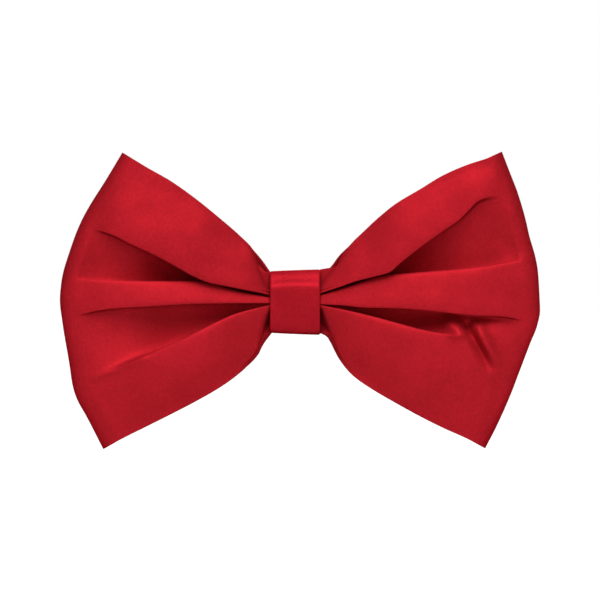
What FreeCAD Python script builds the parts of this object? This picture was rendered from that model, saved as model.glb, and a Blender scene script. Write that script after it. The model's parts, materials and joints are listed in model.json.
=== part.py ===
"""A ready-tied bow tie on an adjustable neck band, worn upright.

The bow is one wide ribbon folded into a loop, gathered into pleats at its middle and tacked with
thread. A knot of the same cloth is wrapped round the gathers and round the neck band behind them.
The band runs once round the neck. One end is sewn round the bar of an eye. The other end turns
round the bar of a hook and comes back to a slide adjuster, whose middle bar it is sewn to.

Frame, in millimetres: +Z up, +X across the bow, -Y the way the bow faces. The origin is the middle
of the knot's back face, which lies on the collar, so the neck is on the +Y side.
"""
import FreeCAD, Part
import math
import os

from FreeCAD import Vector

# ---- driving dimensions -------------------------------------------------------------------------
# the bow, across its wings
bow_width = 120.0
bow_height = 75.0
bow_depth = 17.0            # middle of the front pleats, forward of the collar
tip_inset = 12.0            # the wings' corners stand this far in from their outermost edge
fold_radius = 1.6           # where the ribbon turns back at the outer edge of a wing
cloth = 0.4                 # one ply of satin
interlining = 0.5
# the gathers under the knot
gather_depth = 4.4          # from a pleat's valley to its crest
gather_spill = 0.75         # the gathers stay flat this far beyond each side of the knot
thread = 0.35
thread_turns = 3
thread_pitch = 2.6
# the knot
knot_width = 12.5
knot_ease = 0.5             # above and below the band inside the knot
knot_cloth = 0.5
knot_interlining = 0.4
knot_front_radius = 3.0
knot_back_radius = 1.3
seam_stitches = 5
seam_stitch_length = 1.5
# the neck band
neck_radius = 56.0          # to the middle of the band's thickness
band_width = 12.7
band_thickness = 1.2
band_core = 0.4
band_core_margin = 0.6      # the core stops this far inside the band's edges
fold_over = 9.0             # length of band turned back at an end
fold_seam = 3.0             # its stitches stand this far from the band's cut end
# hook, eye and slide adjuster
bar_radius = 0.7
eye_bar_radius = 0.6
clasp_reach = 12.0          # from the middle of the clasp to the bar at each of its ends
metal = 0.8                 # thickness of the hook's sheet
rail = 1.2
tongue_width = 7.0
tongue_return = 3.0
hook_plate = 4.0            # length of the plate across the hook's rails
plate_clearance = 4.0       # from the hook's bar to its plate, for the fold of the band
clasp_slack = 0.4           # the eye's bar lies this far off the bottom of the hook at rest
slider_angle = 120.0        # round the neck from the knot, in degrees
slider_half_length = 4.2    # to the middle of an end bar
# clearances
gap = 0.15                  # between pieces that are wrapped or threaded round each other
side_gap = 0.5              # between the band's edges and the metal beside them

# ---- places that follow from them ---------------------------------------------------------------
ribbon = 2 * cloth + interlining
wrap = knot_cloth + knot_interlining
knot_height = band_width + 2 * (wrap + knot_ease)
knot_inner_half = knot_height / 2 - wrap
gather_length = knot_width / 2 + gather_spill
gather_half = knot_inner_half - gap - thread - gap - ribbon / 2
band_inner_radius = neck_radius - band_thickness / 2
band_bow = band_inner_radius - math.sqrt(band_inner_radius ** 2 - (knot_width / 2) ** 2)
band_place = wrap + gap + band_bow + band_thickness / 2
rear_place = band_place + band_thickness / 2 + gap + thread + gap + ribbon / 2
valley_place = rear_place + ribbon + 2 * gap
crest_place = valley_place + gather_depth
knot_front = crest_place + ribbon / 2 + gap + thread + gap + wrap
edge_place = rear_place + 2 * fold_radius
neck_centre = Vector(0, neck_radius - band_place, 0)
turn_radius = bar_radius + gap + band_thickness / 2
layer_step = band_thickness + gap
end_bar_angle = 180 - math.degrees(math.asin(clasp_reach / (neck_radius + turn_radius)))


def polar(angle, radius, z=0.0):
    """A point round the neck: angle in degrees from the knot towards +X, radius from the neck's axis."""
    a = math.radians(angle)
    return neck_centre + Vector(radius * math.sin(a), -radius * math.cos(a), z)


def degrees(length, radius=neck_radius):
    """The angle of an arc of that length round the neck."""
    return math.degrees(length / radius)


def through(start, middle, end, t):
    """The parabola that is at start, middle and end when t is 0, 0.5 and 1."""
    return start * (1 - t) * (1 - 2 * t) + 4 * middle * t * (1 - t) + end * t * (2 * t - 1)


# ---- the bow's ribbon ---------------------------------------------------------------------------
# Fold lines from the wing's top edge to its bottom edge, each as (height at the knot, in the middle
# of the wing and at its outer edge, as shares of the half height there; inset of its outer end as a
# share of tip_inset; front sheet's depth at the knot and in the middle of the wing, 0 valley, 1 crest).
FOLD_LINES = (
    (1.00, 0.72, 1.00, 1.00, 0.25, 0.10),
    (0.67, 0.47, 0.69, 0.45, 1.00, 0.90),
    (0.33, 0.24, 0.36, 0.12, 0.00, 0.10),
    (0.00, 0.00, 0.00, 0.00, 1.00, 1.00),
    (-0.33, -0.24, -0.36, 0.12, 0.00, 0.10),
    (-0.67, -0.47, -0.69, 0.45, 1.00, 0.90),
    (-1.00, -0.72, -1.00, 1.00, 0.25, 0.10),
)
WING_STATIONS = (0.0, 0.12, 0.25, 0.4, 0.55, 0.7, 0.85, 1.0)
WING_VALLEY = 0.5           # depth of the valleys in the middle of a wing, as a share of bow_depth
OVERDRAW = 1.5              # a smooth surface reaches two thirds of the way to its net's crests
FOLD_TURNS = (45, 90, 90, 135)  # round the outer fold; its middle counts twice, so it is reached


def wing_line(line, side, t):
    """Where a fold line stands at t, 0 at the knot and 1 at the wing's edge: x and z."""
    at_knot, mid, edge, inset = line[:4]
    x_edge = bow_width / 2 - fold_radius - ribbon / 2 - inset * tip_inset
    x = gather_length + (x_edge - gather_length) * t
    z = through(at_knot * gather_half, mid * bow_height / 2, edge * bow_height / 2, t)
    return side * x, z


def front_depth(line, t):
    knot_share, wing_share = line[4:]
    at_knot = valley_place + knot_share * gather_depth
    share = 0.5 + (wing_share - 0.5) * OVERDRAW
    in_wing = bow_depth * (WING_VALLEY + share * (1 - WING_VALLEY))
    return through(at_knot, in_wing, edge_place, t)


def wing_stations(side):
    """The ribbon's stations in one wing, from the middle of its rear sheet round to the front sheet."""
    stations = []
    for t in WING_STATIONS:
        rear = [wing_line(line, side, t) for line in FOLD_LINES]
        stations.append([Vector(x, -rear_place, z) for x, z in rear])
    for turn in FOLD_TURNS:
        out = fold_radius * math.sin(math.radians(turn))
        forward = rear_place + fold_radius * (1 - math.cos(math.radians(turn)))
        edge = [wing_line(line, side, 1.0) for line in FOLD_LINES]
        stations.append([Vector(x + side * out, -forward, z) for x, z in edge])
    for t in reversed(WING_STATIONS):
        row = []
        for line in FOLD_LINES:
            x, z = wing_line(line, side, t)
            row.append(Vector(x, -front_depth(line, t), z))
        stations.append(row)
    return stations


def gathered(x, depths):
    """A station inside the knot, where the ribbon is gathered."""
    return [Vector(x, -depth, line[0] * gather_half) for line, depth in zip(FOLD_LINES, depths)]


def with_halves(row):
    """The row with a point added halfway between each two of its points."""
    full = [row[0]]
    for point in row[1:]:
        full += [(full[-1] + point) / 2, point]
    return full


def ribbon_net():
    """The net of the ribbon's middle surface, row by row from one sewn end to the other."""
    rear = [rear_place] * len(FOLD_LINES)
    front = [front_depth(line, 0.0) for line in FOLD_LINES]
    half = gather_length / 2
    net = [gathered(gap, rear), gathered(half, rear)]
    net += wing_stations(1)
    net += [gathered(half, front), gathered(0, front), gathered(-half, front)]
    net += reversed(wing_stations(-1))
    net += [gathered(-half, rear), gathered(-gap, rear)]
    return [with_halves(row) for row in net]


def smooth_surface(net):
    """A smooth surface that follows a net of points and never leaves the net's own extent."""
    ends = [(4,) + (1,) * (count - 4) + (4,) for count in (len(net), len(net[0]))]
    knots = [tuple(range(len(mults))) for mults in ends]
    surface = Part.BSplineSurface()
    surface.buildFromPolesMultsKnots(net, ends[0], ends[1], knots[0], knots[1], False, False, 3, 3)
    return surface


def offset_net(net, distance):
    """The net moved square to itself, outwards from the inside of the loop."""
    moved = []
    last_row, last_column = len(net) - 1, len(net[0]) - 1
    for i, row in enumerate(net):
        before, after = net[max(i - 1, 0)], net[min(i + 1, last_row)]
        moved_row = []
        for j, point in enumerate(row):
            along = after[j] - before[j]
            across = row[min(j + 1, last_column)] - row[max(j - 1, 0)]
            outwards = along.cross(across).normalize()
            moved_row.append(point + outwards * distance)
        moved.append(moved_row)
    return moved


def between(low, high):
    """The closed solid between two surfaces whose nets have the same rows."""
    first_u, last_u, first_v, last_v = low.bounds()
    faces = [low.toShape(), high.toShape()]
    for u in (first_u, last_u):
        faces.append(Part.makeRuledSurface(low.uIso(u).toShape(), high.uIso(u).toShape()))
    for v in (first_v, last_v):
        faces.append(Part.makeRuledSurface(low.vIso(v).toShape(), high.vIso(v).toShape()))
    shell = Part.Compound(faces)
    shell.sewShape()
    return solid_of(shell)


def solid_of(shape):
    """The one closed solid of a sewn shape, its faces outwards."""
    solid = Part.makeSolid(shape.Shells[0])
    if solid.Volume < 0:
        solid.reverse()
    return solid


def bow_plies():
    """Face cloth outside the loop, interlining, and lining cloth inside the loop."""
    net = ribbon_net()
    levels = (-ribbon / 2, -interlining / 2, interlining / 2, ribbon / 2)
    surfaces = [smooth_surface(offset_net(net, level)) for level in levels]
    plies = [between(low, high) for low, high in zip(surfaces, surfaces[1:])]
    return dict(zip(("bow_lining_cloth", "bow_interlining", "bow_face_cloth"), plies))


# ---- the knot and the thread inside it ----------------------------------------------------------
def rounded_ring_wire(half_height, back, front, back_radius, front_radius, x):
    """A closed wire round the gathers in the plane of that x, with round corners."""
    corners = (
        (-back, -half_height, back_radius),
        (-front, -half_height, front_radius),
        (-front, half_height, front_radius),
        (-back, half_height, back_radius),
    )
    count = len(corners)
    edges, previous = [], None
    first = None
    for i, (y, z, radius) in enumerate(corners):
        here = Vector(x, y, z)
        before = Vector(x, *corners[i - 1][:2])
        after = Vector(x, *corners[(i + 1) % count][:2])
        into = (here - before).normalize()
        out = (after - here).normalize()
        start, end = here - into * radius, here + out * radius
        middle = here + (out - into) * radius * (1 - math.sqrt(0.5))
        if previous is not None:
            edges.append(Part.LineSegment(previous, start).toShape())
        edges.append(Part.Arc(start, middle, end).toShape())
        first = first or start
        previous = end
    edges.append(Part.LineSegment(previous, first).toShape())
    return Part.Wire(edges)


def knot_layer(outside, thickness):
    """A ring of cloth whose outer face lies that far inside the knot's outer face."""
    faces = []
    for inset in (outside, outside + thickness):
        wire = rounded_ring_wire(
            knot_height / 2 - inset, inset, knot_front - inset,
            knot_back_radius - inset, knot_front_radius - inset, -knot_width / 2)
        faces.append(Part.Face(wire))
    return faces[0].cut(faces[1]).extrude(Vector(knot_width, 0, 0))


def pleat_tack_thread():
    """Turns of thread drawn tight round the gathered ribbon, side by side."""
    inset = wrap + gap + thread / 2
    turns = []
    for i in range(thread_turns):
        x = (i - (thread_turns - 1) / 2) * thread_pitch
        back = rear_place - ribbon / 2 - gap - thread / 2
        path = rounded_ring_wire(
            knot_height / 2 - inset, back, knot_front - inset,
            thread, knot_front_radius - inset, x)
        start = path.Edges[0].valueAt(path.Edges[0].FirstParameter)
        direction = path.Edges[0].tangentAt(path.Edges[0].FirstParameter)
        section = Part.Wire(Part.Circle(start, direction, thread / 2).toShape())
        turns.append(path.makePipeShell([section], True, True))
    return Part.Compound(turns)


def knot_closing_stitches():
    """Short stitches across the seam under the knot, lying on its underside."""
    stitches = []
    pitch = knot_width / seam_stitches
    y = -knot_back_radius - seam_stitch_length
    for i in range(seam_stitches):
        x = (i + 0.5) * pitch - knot_width / 2
        z = -knot_height / 2 - thread / 2
        stitches.append(capsule(Vector(x, y, z), Vector(x, y - seam_stitch_length, z), thread / 2))
    return Part.Compound(stitches)


def capsule(start, end, radius):
    """A round bar with round ends."""
    body = Part.makeCylinder(radius, (end - start).Length, start, end - start)
    return body.fuse(Part.makeSphere(radius, start)).fuse(Part.makeSphere(radius, end)).removeSplitter()


# ---- the neck band ------------------------------------------------------------------------------
def neck_arc(start, end, radius):
    middle = (start + end) / 2
    return Part.Arc(polar(start, radius), polar(middle, radius), polar(end, radius)).toShape()


def half_turn(angle, inner, outer, way):
    """A half circle from one radius to another, bulging the way that angles grow (1) or shrink (-1)."""
    centre = polar(angle, (inner + outer) / 2)
    tangent = Vector(math.cos(math.radians(angle)), math.sin(math.radians(angle)), 0)
    bulge = centre + tangent * way * abs(outer - inner) / 2
    return Part.Arc(polar(angle, inner), bulge, polar(angle, outer)).toShape()


def easing_in(start, end, outer, inner):
    """A smooth curve round the neck that comes down from the outer radius to the inner one."""
    points = []
    for i in range(9):
        t = i / 8
        ease = t * t * (3 - 2 * t)
        points.append(polar(start + (end - start) * t, outer + (inner - outer) * ease))
    curve = Part.BSplineCurve()
    a0, a1 = math.radians(start), math.radians(end)
    way = math.copysign(1.0, end - start)
    tangents = [Vector(math.cos(a) * way, math.sin(a) * way, 0) for a in (a0, a1)]
    curve.interpolate(Points=points, InitialTangent=tangents[0], FinalTangent=tangents[1])
    return curve.toShape()


def beside(edge, distance):
    """The edge that runs beside another one in the level plane, to its left by that distance."""
    first, last = edge.ParameterRange
    count = 3 if edge.Curve.TypeId == "Part::GeomCircle" else 13
    points, tangents = [], []
    for i in range(count):
        place = first + (last - first) * i / (count - 1)
        tangent = edge.tangentAt(place)
        points.append(edge.valueAt(place) + Vector(-tangent.y, tangent.x, 0) * distance)
        tangents.append(tangent)
    if count == 3:
        return Part.Arc(*points).toShape()
    curve = Part.BSplineCurve()
    curve.interpolate(Points=points, InitialTangent=tangents[0], FinalTangent=tangents[-1])
    return curve.toShape()


def strip(edges, thickness, width):
    """A flat strip on edge that follows a smooth line of edges, each starting where the last ended."""
    left = [beside(edge, thickness / 2) for edge in edges]
    right = [beside(edge, -thickness / 2) for edge in edges]
    ends = [
        Part.LineSegment(end_point(right[-1], 1), end_point(left[-1], 1)).toShape(),
        Part.LineSegment(end_point(left[0], 0), end_point(right[0], 0)).toShape(),
    ]
    outline = Part.Wire(Part.sortEdges(left + right + ends)[0])
    face = Part.Face(outline)
    face.translate(Vector(0, 0, -width / 2))
    return face.extrude(Vector(0, 0, width))


def end_point(edge, which):
    return edge.valueAt(edge.ParameterRange[which])


ease_span = degrees(5.0)
inner_layer = neck_radius
outer_layer = neck_radius + 2 * turn_radius
laid_layer = neck_radius + layer_step
slider_bar_radius = laid_layer + turn_radius
slider_outer_layer = laid_layer + 2 * turn_radius


def band_line():
    """The band from its stitched end, round the eye's bar and the neck, to the hook's bar."""
    eye = -end_bar_angle
    return [
        neck_arc(eye + ease_span + degrees(fold_over), eye + ease_span, laid_layer),
        easing_in(eye + ease_span, eye, laid_layer, outer_layer),
        half_turn(eye, outer_layer, inner_layer, -1),
        neck_arc(eye, 0, inner_layer),
        neck_arc(0, end_bar_angle, inner_layer),
        half_turn(end_bar_angle, inner_layer, outer_layer, 1),
    ]


def tail_line():
    """The band's end from the hook's bar back to the adjuster's middle bar, and round it."""
    return [
        easing_in(end_bar_angle - degrees(gap), end_bar_angle - ease_span, outer_layer, laid_layer),
        neck_arc(end_bar_angle - ease_span, slider_angle, laid_layer),
        half_turn(slider_angle, laid_layer, slider_outer_layer, -1),
        neck_arc(slider_angle, slider_angle + degrees(fold_over), slider_outer_layer),
    ]


def neck_band():
    """The band's cloth, a flat tube closed round its core."""
    whole = strip(band_line(), band_thickness, band_width)
    return whole.cut(neck_band_core())


def neck_band_core():
    """A stiffening strip inside the band, between its stitched end and the hook."""
    reach = end_bar_angle - ease_span - degrees(fold_over)
    edges = [neck_arc(-reach, 0, inner_layer), neck_arc(0, reach, inner_layer)]
    return strip(edges, band_core, band_width - 2 * band_core_margin)


def bar_tack(angle, inner, outer):
    """A row of stitches across the band at a fold, from just under its inner face out through both."""
    row = []
    for share in (-0.32, -0.16, 0.0, 0.16, 0.32):
        z = share * band_width
        start = polar(angle, inner - band_thickness / 2 + thread / 2, z)
        end = polar(angle, outer + band_thickness / 2, z)
        row.append(capsule(start, end, thread / 2))
    return Part.Compound(row)


# ---- hook, eye and slide adjuster ---------------------------------------------------------------
clasp_y = polar(end_bar_angle, neck_radius + turn_radius).y
rail_inner = band_width / 2 + side_gap
rail_outer = rail_inner + rail
hook_offset = eye_bar_radius + gap + metal / 2


def upright_bar(x, y, radius):
    return Part.makeCylinder(radius, 2 * rail_outer, Vector(x, y, -rail_outer))


def rails(x0, x1, y0, y1):
    """A pair of rails above and below the band."""
    pair = []
    for z in (rail_inner, -rail_outer):
        pair.append(Part.makeBox(x1 - x0, y1 - y0, rail, Vector(x0, y0, z)))
    return pair


def fused(shapes):
    whole = shapes[0].fuse(shapes[1:])
    return whole.removeSplitter()


def clasp_hook():
    """A bar for the band, two rails, and a plate whose tongue bends round the eye's bar."""
    plate_end = clasp_reach - bar_radius - plate_clearance
    plate_start = plate_end - hook_plate
    outer = clasp_y + hook_offset
    plate = Part.makeBox(
        hook_plate, metal, 2 * rail_outer, Vector(plate_start, outer - metal / 2, -rail_outer))
    bottom = -clasp_slack
    tongue_path = [
        Part.LineSegment(Vector(plate_end, outer, 0), Vector(bottom, outer, 0)).toShape(),
        Part.Arc(
            Vector(bottom, outer, 0),
            Vector(bottom - hook_offset, clasp_y, 0),
            Vector(bottom, clasp_y - hook_offset, 0)).toShape(),
        Part.LineSegment(
            Vector(bottom, clasp_y - hook_offset, 0),
            Vector(bottom + tongue_return, clasp_y - hook_offset, 0)).toShape(),
    ]
    tongue = strip(tongue_path, metal, tongue_width)
    sides = rails(plate_start, clasp_reach + bar_radius, clasp_y - bar_radius, outer + metal / 2)
    return fused([upright_bar(clasp_reach, clasp_y, bar_radius), plate, tongue] + sides)


def clasp_eye():
    """A flat ring: one bar for the band, one for the hook, and two rails between them."""
    rear, front = clasp_y + eye_bar_radius, clasp_y - eye_bar_radius
    sides = rails(-clasp_reach - bar_radius, eye_bar_radius, front, rear)
    bars = [upright_bar(-clasp_reach, clasp_y, bar_radius), upright_bar(0, clasp_y, eye_bar_radius)]
    return fused(bars + sides)


def arc_rail(z):
    """A rail of the adjuster, curved with the neck, in the layer from z upwards."""
    reach = degrees(slider_half_length + bar_radius)
    low = neck_radius - band_thickness / 2 - gap - 2 * eye_bar_radius
    high = slider_bar_radius + bar_radius
    start, end = slider_angle - reach, slider_angle + reach
    outline = Part.Wire([
        neck_arc(start, end, low),
        Part.LineSegment(polar(end, low), polar(end, high)).toShape(),
        neck_arc(end, start, high),
        Part.LineSegment(polar(start, high), polar(start, low)).toShape(),
    ])
    side = Part.Face(outline)
    side.translate(Vector(0, 0, z))
    return side.extrude(Vector(0, 0, rail))


def slide_adjuster():
    """Two rails joined by end bars inside the band and by the bar that the tail is sewn round."""
    pieces = [arc_rail(rail_inner), arc_rail(-rail_outer)]
    end_radius = neck_radius - band_thickness / 2 - gap - eye_bar_radius
    for step in (-slider_half_length, slider_half_length):
        place = polar(slider_angle + degrees(step), end_radius)
        pieces.append(upright_bar(place.x, place.y, eye_bar_radius))
    middle = polar(slider_angle, slider_bar_radius)
    pieces.append(upright_bar(middle.x, middle.y, bar_radius))
    return fused(pieces)


# ---- the whole tie ------------------------------------------------------------------------------
def nodes():
    made = bow_plies()
    made["pleat_tack_thread"] = pleat_tack_thread()
    made["knot_cloth"] = knot_layer(0.0, knot_cloth)
    made["knot_interlining"] = knot_layer(knot_cloth, knot_interlining)
    made["knot_closing_stitches"] = knot_closing_stitches()
    made["neck_band"] = neck_band()
    made["neck_band_core"] = neck_band_core()
    made["band_tail"] = strip(tail_line(), band_thickness, band_width)
    eye_tack = -end_bar_angle + ease_span + degrees(fold_over - fold_seam)
    made["eye_end_stitches"] = bar_tack(eye_tack, inner_layer, laid_layer)
    tail_tack = slider_angle + degrees(fold_over - fold_seam)
    made["tail_end_stitches"] = bar_tack(tail_tack, laid_layer, slider_outer_layer)
    made["clasp_hook"] = clasp_hook()
    made["clasp_eye"] = clasp_eye()
    made["slide_adjuster"] = slide_adjuster()
    return made


def main():
    os.makedirs("parts", exist_ok=True)
    for name, shape in nodes().items():
        solids = shape.Solids
        valid = shape.isValid() and all(s.isClosed() and s.Volume > 0 for s in solids)
        print(f"{name:24s} solids {len(solids)}  volume {shape.Volume:9.2f} mm3  valid {valid}")
        shape.exportStep(f"parts/{name}.step")


main()
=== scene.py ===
"""A ready-tied satin bow tie on its neck band: the cloth, thread, metal, studio and camera."""
import json
import math

import bpy
import numpy as np
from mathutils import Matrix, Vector, noise


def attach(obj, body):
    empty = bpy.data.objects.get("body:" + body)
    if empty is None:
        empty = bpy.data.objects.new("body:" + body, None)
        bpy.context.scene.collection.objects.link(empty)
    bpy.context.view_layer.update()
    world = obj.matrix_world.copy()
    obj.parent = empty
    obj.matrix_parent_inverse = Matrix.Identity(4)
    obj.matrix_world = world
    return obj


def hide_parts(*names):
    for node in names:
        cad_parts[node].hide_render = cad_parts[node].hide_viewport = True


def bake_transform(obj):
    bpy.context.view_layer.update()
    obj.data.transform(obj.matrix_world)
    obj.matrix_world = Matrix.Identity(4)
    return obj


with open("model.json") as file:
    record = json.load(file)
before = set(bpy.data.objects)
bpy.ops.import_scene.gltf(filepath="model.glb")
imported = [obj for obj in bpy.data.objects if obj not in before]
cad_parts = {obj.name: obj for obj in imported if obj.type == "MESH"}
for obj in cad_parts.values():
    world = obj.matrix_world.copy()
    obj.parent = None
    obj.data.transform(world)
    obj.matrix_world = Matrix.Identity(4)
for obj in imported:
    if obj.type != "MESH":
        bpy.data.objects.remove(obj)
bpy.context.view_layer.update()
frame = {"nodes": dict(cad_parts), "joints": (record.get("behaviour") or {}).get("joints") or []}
MM = 0.001

# ---- The bow's ribbon ---------------------------------------------------------------------------
# One wide ribbon of red satin, turned and pressed over a stiff interlining. It is folded into a
# loop, and the loop's front is laid in pleats that are gathered tight at the middle. The pleats
# open towards the wings: an upper lobe, a middle ridge and a lower lobe, with a recess between.
RIBBON_THICKNESS = 0.7 * MM
FOLD_RADIUS = 4.4           # mm, where the ribbon turns back at a wing's outer edge
FOLD_START = 6              # degrees round that turn, where the front sheet runs into it
REAR_DEPTH = (4.3, 3.4)     # mm in front of the collar, at the knot and at the wing's edge
KNOT_HALF = 6.3             # mm, where the pleats come out from under the knot

# Fold lines of the front sheet, as (distance from the middle, height) in mm.
LEFT_WING = {
    "top edge": [(6.3, 7.5), (8.7, 7.7), (9.6, 10.2), (10.6, 13.1), (13.4, 16.1), (19.4, 21.3),
                 (25.4, 26.1), (31.4, 30.3), (37.4, 33.7), (43.6, 37.5)],
    "upper lobe, inner edge": [(6.3, 2.2), (7.8, 4.5), (9.0, 7.7), (9.8, 10.1), (10.8, 12.6),
                               (13.4, 15.0), (25.4, 24.8), (37.4, 32.4), (43.6, 36.0)],
    "upper lobe, fold": [(6.3, 1.8), (13.4, 3.1), (17.4, 3.9), (21.4, 4.7), (25.4, 6.3), (29.4, 8.5),
                         (33.4, 10.7), (37.4, 12.7), (41.4, 14.5), (45.4, 16.5), (49.4, 17.9),
                         (54.6, 18.6)],
    "ridge, top": [(6.3, 1.0), (13.4, 2.4), (21.4, 4.5), (25.4, 5.1), (33.4, 5.1), (45.4, 5.3),
                   (57.9, 5.9)],
    "ridge, bottom": [(6.3, -0.4), (13.4, -0.4), (25.4, -0.6), (31.4, -0.9), (37.4, -1.3),
                      (43.4, -1.6), (48.2, -2.1), (53.4, -3.1), (58.4, -3.6)],
    "lower lobe, fold": [(6.3, -0.9), (11.4, -2.1), (15.4, -3.3), (19.4, -5.1), (23.4, -7.1),
                         (27.4, -9.1), (33.4, -11.9), (39.4, -14.7), (43.4, -16.7), (48.2, -18.7),
                         (55.5, -21.4)],
    "lower lobe, inner edge": [(6.3, -2.6), (7.6, -5.9), (8.6, -9.5), (9.4, -11.9), (12.2, -15.5),
                               (19.4, -20.9), (31.4, -27.3), (43.4, -33.2), (48.2, -35.7)],
    "bottom edge": [(6.3, -7.6), (7.4, -8.6), (8.5, -11.0), (9.5, -13.3), (12.2, -16.3),
                    (15.4, -19.1), (19.4, -21.9), (25.4, -25.3), (31.4, -28.4), (37.4, -31.4),
                    (43.4, -34.4), (48.2, -37.1)],
}
RIGHT_WING = {
    "top edge": [(6.3, 8.1), (10.2, 8.9), (11.4, 10.8), (13.6, 14.0), (17.2, 17.6), (21.2, 21.3),
                 (25.2, 24.5), (31.2, 28.1), (37.2, 31.7), (43.2, 34.3), (49.2, 36.3), (52.0, 37.7)],
    "upper lobe, inner edge": [(6.3, 3.4), (8.4, 6.4), (10.2, 8.6), (12.0, 11.0), (14.0, 13.4),
                               (17.2, 16.4), (25.2, 23.4), (37.2, 30.4), (52.0, 36.2)],
    "upper lobe, fold": [(6.3, 2.1), (11.2, 3.7), (15.2, 5.1), (19.2, 6.1), (23.6, 7.3), (26.0, 9.3),
                         (29.2, 11.9), (33.2, 14.9), (37.2, 17.7), (41.2, 20.5), (43.6, 22.9),
                         (46.0, 25.2), (49.2, 26.3), (56.2, 27.0)],
    "ridge, top": [(6.3, 1.5), (13.0, 3.6), (22.8, 6.5), (31.2, 7.3), (43.2, 8.3), (49.2, 9.1),
                   (55.2, 10.1), (60.3, 10.9)],
    "ridge, bottom": [(6.3, -0.7), (11.2, -0.9), (17.2, -1.5), (25.2, -1.7), (33.2, -2.3),
                      (39.2, -2.9), (45.2, -3.5), (51.2, -3.7), (55.2, -4.3), (60.6, -5.3)],
    "lower lobe, fold": [(6.3, -0.9), (13.2, -2.3), (19.2, -3.7), (25.2, -5.3), (31.2, -6.9),
                         (37.2, -8.1), (41.2, -8.7), (43.6, -9.5), (46.2, -12.4), (49.6, -17.1),
                         (54.8, -21.8)],
    "lower lobe, inner edge": [(6.3, -1.8), (7.6, -5.1), (9.2, -8.7), (10.4, -11.9), (13.2, -16.0),
                               (19.2, -20.9), (31.2, -27.7), (43.2, -33.2), (47.8, -35.6)],
    "bottom edge": [(6.3, -8.0), (9.5, -8.5), (10.4, -12.0), (11.2, -14.3), (13.2, -17.1),
                    (15.2, -19.1), (19.2, -21.9), (25.2, -25.4), (31.2, -28.7), (37.2, -31.7),
                    (43.2, -34.4), (47.8, -36.9)],
}
# The wings' outer edges, as (height, distance from the middle) in mm.
LEFT_EDGE = [(-37.1, 48.2), (-29.1, 52.3), (-24.3, 54.9), (-21.1, 55.9), (-15.9, 56.7), (-5.1, 58.5),
             (0.5, 59.1), (4.5, 58.8), (7.3, 58.3), (12.5, 56.7), (17.3, 55.0), (20.9, 53.4),
             (24.5, 51.4), (30.5, 47.6), (37.5, 43.4)]
RIGHT_EDGE = [(-36.9, 47.8), (-31.9, 50.4), (-26.7, 52.8), (-21.9, 54.8), (-18.7, 56.0),
              (-10.3, 59.2), (-6.3, 60.8), (-2.2, 61.6), (0.5, 61.5), (7.3, 61.1), (11.3, 60.4),
              (16.5, 58.9), (20.5, 58.0), (27.3, 56.0), (32.5, 54.0), (37.7, 52.0)]
# The rear sheet's edges beside the knot, where they run straight in under it.
LEFT_REAR = {"top edge": [(6.3, 7.6), (8.2, 10.3)], "bottom edge": [(6.3, -7.8), (8.6, -11.2)]}
RIGHT_REAR = {"top edge": [(6.3, 6.4), (8.8, 8.5), (11.2, 11.7)],
              "bottom edge": [(6.3, -7.6), (8.2, -8.6)]}
# How far in front of the collar each line stands, in mm: from the knot out to near the edge.
DEPTHS = {
    "top edge": (7.4, 10.2, 12.1, 12.1),
    "upper lobe, inner edge": (10.0, 10.6, 12.4, 12.4),
    "upper lobe, fold": (11.0, 13.4, 15.2, 14.0),
    "ridge, top": (10.4, 11.8, 13.0, 12.8),
    "ridge, bottom": (10.8, 12.8, 14.5, 13.6),
    "lower lobe, fold": (11.0, 13.2, 14.8, 13.6),
    "lower lobe, inner edge": (10.0, 10.8, 13.2, 12.6),
    "bottom edge": (7.6, 10.4, 12.9, 12.4),
}
DEPTH_PLACES = (0.0, 0.18, 0.5, 0.86, 1.0)
RECESS = (2.8, 6.6, 7.6, 3.2, 0.0)  # mm, how far a pleat goes back from its fold at those places
# The hidden bottom of the pleat behind each fold: how far it stands above the fold, in mm, and its
# share of RECESS, each at four places from the knot to the wing's edge.
LEFT_PLEATS = {
    "upper lobe, fold": ((0.4, 0.9, 0.0, -0.8), (1.1, 0.9, 0.85, 0.75)),
    "ridge, top": ((-0.1, -0.7, -0.3, 0.2), (1.0, 1.0, 0.9, 0.7)),
    "ridge, bottom": ((0.1, 0.3, -0.2, -0.8), (1.0, 0.9, 0.6, 0.5)),
    "lower lobe, fold": ((-0.2, -0.8, 0.6, 3.0), (1.1, 0.95, 0.55, 0.1)),
}
RIGHT_PLEATS = {
    "upper lobe, fold": ((0.4, 0.9, 0.0, -1.4), (1.1, 0.9, 0.8, 0.4)),
    "ridge, top": ((-0.1, -0.7, -0.3, 0.2), (1.0, 1.0, 0.9, 0.7)),
    "ridge, bottom": ((0.1, 0.4, 0.0, -0.6), (1.0, 1.0, 0.9, 0.7)),
    "lower lobe, fold": ((-0.2, -0.8, -0.3, 3.0), (1.1, 1.0, 0.38, 0.0)),
}
PLEAT_PLACES = (0.0, 0.45, 0.7, 1.0)
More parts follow.
